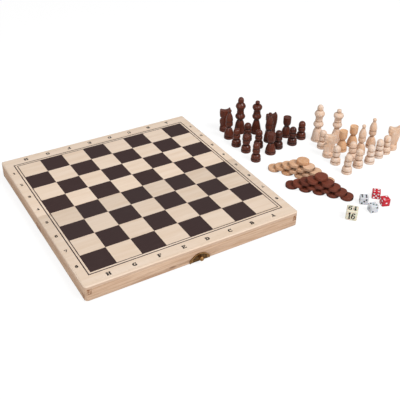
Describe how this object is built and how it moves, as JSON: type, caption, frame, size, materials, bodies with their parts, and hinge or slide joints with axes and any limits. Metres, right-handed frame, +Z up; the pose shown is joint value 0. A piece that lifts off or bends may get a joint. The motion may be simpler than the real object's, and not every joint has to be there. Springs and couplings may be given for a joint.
{
  "type": "folding games compendium box",
  "caption": "Hinged wooden games box lying open as a chessboard, with a brass clasp, backgammon inside, and its turned chessmen, draughts and dice set out beside it.",
  "frame": {"origin": "middle of the playing surface, on the fold line, level with the top of the panels", "axes": "+X along the fold towards the loose pieces, +Y from the clasp post across the board, +Z up out of the playing surface"},
  "size_m": [0.5468, 0.3353, 0.0605],
  "materials": {
    "birch_plywood": "satin lacquer",
    "beech_rail": "satin lacquer",
    "hinge_brass": "satin",
    "clasp_brass": "antiqued",
    "light_wood": "clear lacquer",
    "dark_wood": "red-brown lacquer",
    "white_plastic": "gloss",
    "red_plastic": "gloss",
    "ivory_plastic": "satin"
  },
  "bodies": {
    "front_half": {"front_panel": "birch_plywood", "front_rail": "beech_rail", "front_left_rail": "beech_rail", "front_right_rail": "beech_rail", "front_fold_rail": "beech_rail", "left_hinge_front_leaf": "hinge_brass", "left_hinge_pin": "hinge_brass", "right_hinge_front_leaf": "hinge_brass", "right_hinge_pin": "hinge_brass", "front_hinge_screws": "hinge_brass", "front_clasp_plate": "clasp_brass", "front_clasp_nails": "clasp_brass", "clasp_post": "clasp_brass"},
    "back_half": {"back_panel": "birch_plywood", "back_rail": "beech_rail", "back_left_rail": "beech_rail", "back_right_rail": "beech_rail", "back_fold_rail": "beech_rail", "left_hinge_back_leaf": "hinge_brass", "right_hinge_back_leaf": "hinge_brass", "back_hinge_screws": "hinge_brass", "back_clasp_plate": "clasp_brass", "back_clasp_nails": "clasp_brass", "hook_rivet": "clasp_brass"},
    "hook": {"clasp_hook": "clasp_brass"},
    "light_chessmen": {"light_king": "light_wood", "light_queen": "light_wood", "light_bishops": "light_wood", "light_knights": "light_wood", "light_rooks": "light_wood", "light_pawns": "light_wood"},
    "dark_chessmen": {"dark_king": "dark_wood", "dark_queen": "dark_wood", "dark_bishops": "dark_wood", "dark_knights": "dark_wood", "dark_rooks": "dark_wood", "dark_pawns": "dark_wood"},
    "light_draughts_wall": {"light_draughts": "light_wood"},
    "dark_draughts_wall": {"dark_draughts": "dark_wood"},
    "dice_group": {"white_dice": "white_plastic", "red_dice": "red_plastic", "doubling_cube": "ivory_plastic"}
  },
  "joints": [
    {"name": "fold", "type": "hinge", "parent": "front_half", "child": "back_half", "pos_m": [0, 0, -0.02015], "axis": [-1, 0, 0], "range_deg": [0, 180]},
    {"name": "hook_swing", "type": "hinge", "parent": "back_half", "child": "hook", "pos_m": [0, 0.15, -0.0135], "axis": [0, 1, 0], "range_deg": [0, 90]},
    {"name": "light_chessmen_lift", "type": "slide", "parent": "front_half", "child": "light_chessmen", "axis": [0, 0, 1], "range_m": [0, 0.08]},
    {"name": "dark_chessmen_lift", "type": "slide", "parent": "front_half", "child": "dark_chessmen", "axis": [0, 0, 1], "range_m": [0, 0.08]},
    {"name": "light_draughts_lift", "type": "slide", "parent": "front_half", "child": "light_draughts_wall", "axis": [0, 0, 1], "range_m": [0, 0.05]},
    {"name": "dark_draughts_lift", "type": "slide", "parent": "front_half", "child": "dark_draughts_wall", "axis": [0, 0, 1], "range_m": [0, 0.05]},
    {"name": "dice_lift", "type": "slide", "parent": "front_half", "child": "dice_group", "axis": [0, 0, 1], "range_m": [0, 0.04]}
  ]
}
